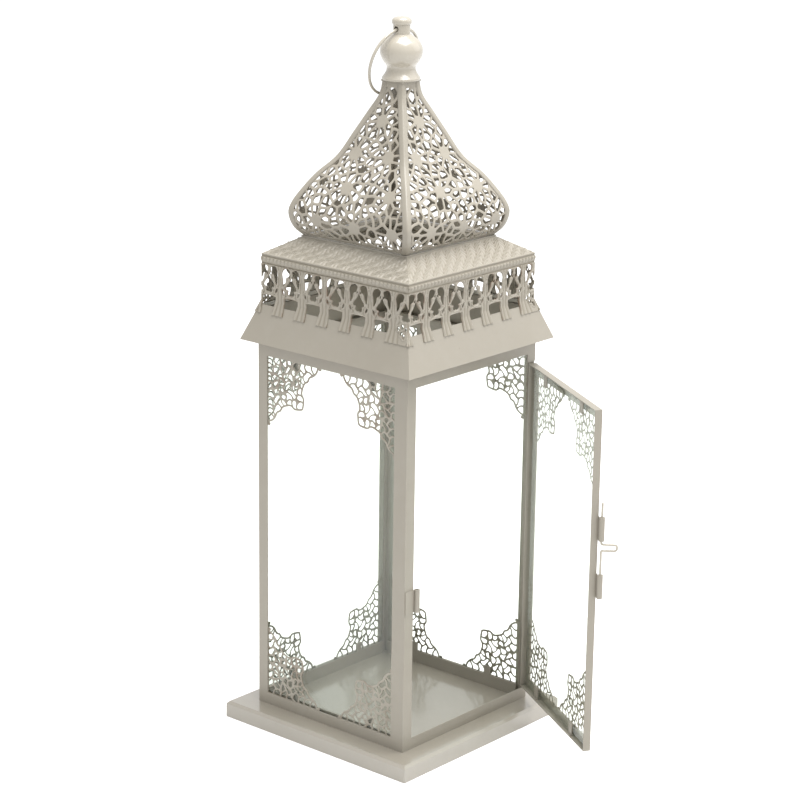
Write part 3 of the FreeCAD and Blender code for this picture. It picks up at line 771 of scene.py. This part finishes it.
drill_points, drill_triangles = wire([(x, 0, PIVOT) for x in (-18, 0, 18)], HOLE_RADIUS, 40)
drill = make_object("drill", drill_points, drill_triangles)
cut = knob.modifiers.new("cross_hole", "BOOLEAN")
cut.operation = "DIFFERENCE"
cut.object = drill
cut.solver = "EXACT"
bpy.context.view_layer.update()
drilled = bpy.data.meshes.new_from_object(knob.evaluated_get(bpy.context.evaluated_depsgraph_get()))
knob.modifiers.clear()
knob.data = drilled
knob.data.set_sharp_from_angle(angle=math.radians(32))
bpy.data.objects.remove(drill)
fit_out(knob, "housing", "finial", knob_paint)

RING_RADIUS = 25.7
WIRE_RADIUS = 1.1
lean = math.radians(16.5)
down = np.array([0, math.sin(lean), -math.cos(lean)])
middle = np.array([0, 0, PIVOT]) + down * RING_RADIUS
turns = np.arange(128) * 2 * math.pi / 128
route = [middle + RING_RADIUS * (math.cos(t) * np.array([1.0, 0, 0]) + math.sin(t) * down) for t in turns]
points, triangles = wire(route, WIRE_RADIUS, 18, True)
ring = make_object("wire_ring", points, triangles, sharp=60)
fit_out(ring, "ring", "hanging_ring", knob_paint)

# ---------------------------------------------------------------- latch bolt
BOLT = np.array([-62.1, -75.9, 0.0])
handle_turn = math.radians(22)
out = np.array([-math.sin(handle_turn), -math.cos(handle_turn), 0]) * 11.5
low, high = BOLT + (0, 0, 181.6), BOLT + (0, 0, 186.3)
route = rounded_route([BOLT + (0, 0, 146.5), low, low + out, high + out, high, BOLT + (0, 0, 218)],
                      [1.5, 2.3, 2.3, 1.5])
points, triangles = wire(route, 0.9, 16)
bolt = make_object("wire_bolt", door_open(points), triangles, sharp=60)
fit_out(bolt, "latch", "latch_bolt", knob_paint)

# ---------------------------------------------------------------- stage, light and camera
bpy.ops.mesh.primitive_plane_add(size=14, location=(0, 0, 0))
floor = bpy.context.object
floor.name = "floor"
material, tree, shader = new_material("white_floor")
near_white = blend(tree, noise(tree, 3, 2), (0.79, 0.79, 0.79), (0.81, 0.81, 0.81))
tree.links.new(near_white, shader.inputs["Base Color"])
shader.inputs["Roughness"].default_value = 0.9
shader.inputs["Specular IOR Level"].default_value = 0.0
shader.inputs["Emission Color"].default_value = (1, 1, 1, 1)
shader.inputs["Emission Strength"].default_value = 0.22
floor.data.materials.append(material)
floor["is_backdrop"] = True

world = bpy.data.worlds.new("studio")
bpy.context.scene.world = world
world.use_nodes = True
backdrop = world.node_tree.nodes["Background"]
backdrop.inputs["Color"].default_value = (1, 1, 1, 1)
backdrop.inputs["Strength"].default_value = 1.02
bpy.context.scene.view_settings.view_transform = "Standard"

for name, place, power, size in (
        ("key", (1.9, -1.5, 1.6), 15, 2.2), ("overhead", (0.1, -0.4, 2.3), 80, 1.6),
        ("fill", (-1.2, -2.2, 1.0), 3, 1.6)):
    light = bpy.data.lights.new(name, "AREA")
    light.energy = power
    light.size = size
    lamp = bpy.data.objects.new(name, light)
    lamp.location = place
    lamp.rotation_euler = (Vector((0, 0, 0.25)) - Vector(place)).to_track_quat("-Z", "Y").to_euler()
    bpy.context.scene.collection.objects.link(lamp)

azimuth, elevation, roll = (math.radians(angle) for angle in (-49.12, 16.176, 0.759))
focal_pixels = 2492.52
target = Vector((0, 0, 0.25136))
away = Vector((math.sin(azimuth) * math.cos(elevation), -math.cos(azimuth) * math.cos(elevation),
               math.sin(elevation)))
level = Vector((math.cos(azimuth), math.sin(azimuth), 0))
upward = away.cross(level)
right = math.cos(roll) * level + math.sin(roll) * upward
top = math.cos(roll) * upward - math.sin(roll) * level
place = target + away * 1.8977
camera = bpy.data.objects.new("camera", bpy.data.cameras.new("camera"))
camera.data.lens = focal_pixels / 800 * 36
camera.data.sensor_width = 36
camera.data.shift_x = 3.306 / 800
camera.data.shift_y = 7.758 / 800
camera.data.clip_start = 0.05
camera.data.clip_end = 50
camera.matrix_world = Matrix(((right.x, top.x, away.x, place.x), (right.y, top.y, away.y, place.y),
                              (right.z, top.z, away.z, place.z), (0, 0, 0, 1)))
bpy.context.scene.collection.objects.link(camera)
bpy.context.scene.camera = camera

low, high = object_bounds()
